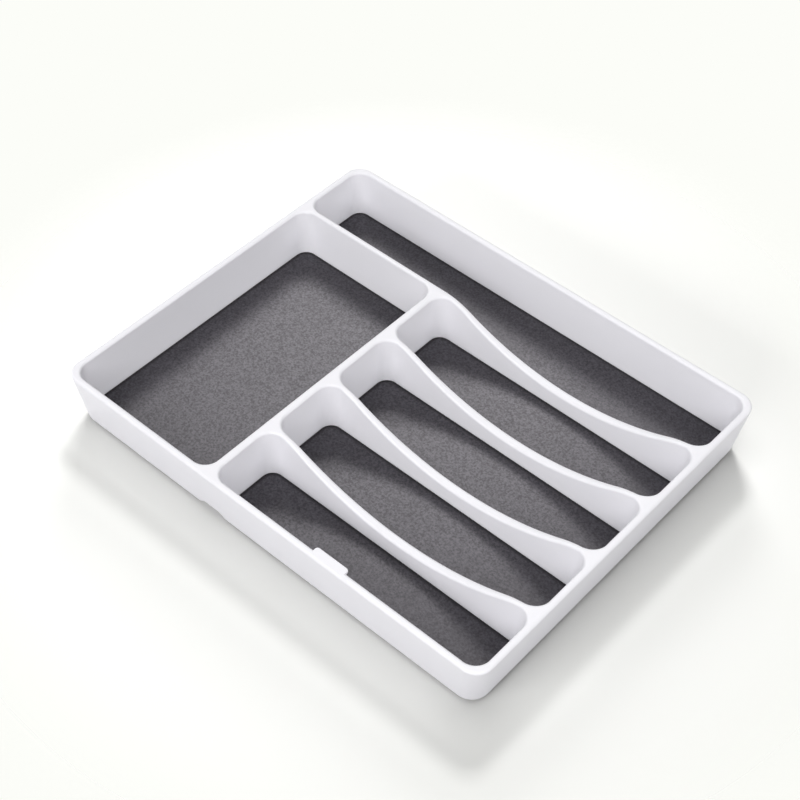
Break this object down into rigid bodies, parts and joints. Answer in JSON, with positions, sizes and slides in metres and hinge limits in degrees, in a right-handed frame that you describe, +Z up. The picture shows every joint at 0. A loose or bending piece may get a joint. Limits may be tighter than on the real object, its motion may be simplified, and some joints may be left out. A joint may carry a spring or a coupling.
{
  "type": "cutlery tray",
  "caption": "Shallow rectangular drawer tray with a long pocket, a wide pocket and a row of narrow pockets between scooped dividers, each floor lined with a soft-grip sheet.",
  "frame": {"origin": "on the table under the middle of the tray, level with the lower faces of the feet", "axes": "+X along the long side, from the wide pocket to the narrow pockets; +Y to the back, towards the long pocket; +Z up"},
  "size_m": [0.406, 0.33, 0.048],
  "materials": {
    "shell": "satin",
    "liner": "matt with a fine grain",
    "foot": "matt"
  },
  "bodies": {
    "root": {"tray_shell": "shell", "liner_long": "liner", "liner_wide": "liner", "liner_small_1": "liner", "liner_small_2": "liner", "liner_small_3": "liner", "liner_small_4": "liner", "foot_front_left": "foot", "foot_front_right": "foot", "foot_back_left": "foot", "foot_back_right": "foot"}
  },
  "joints": []
}
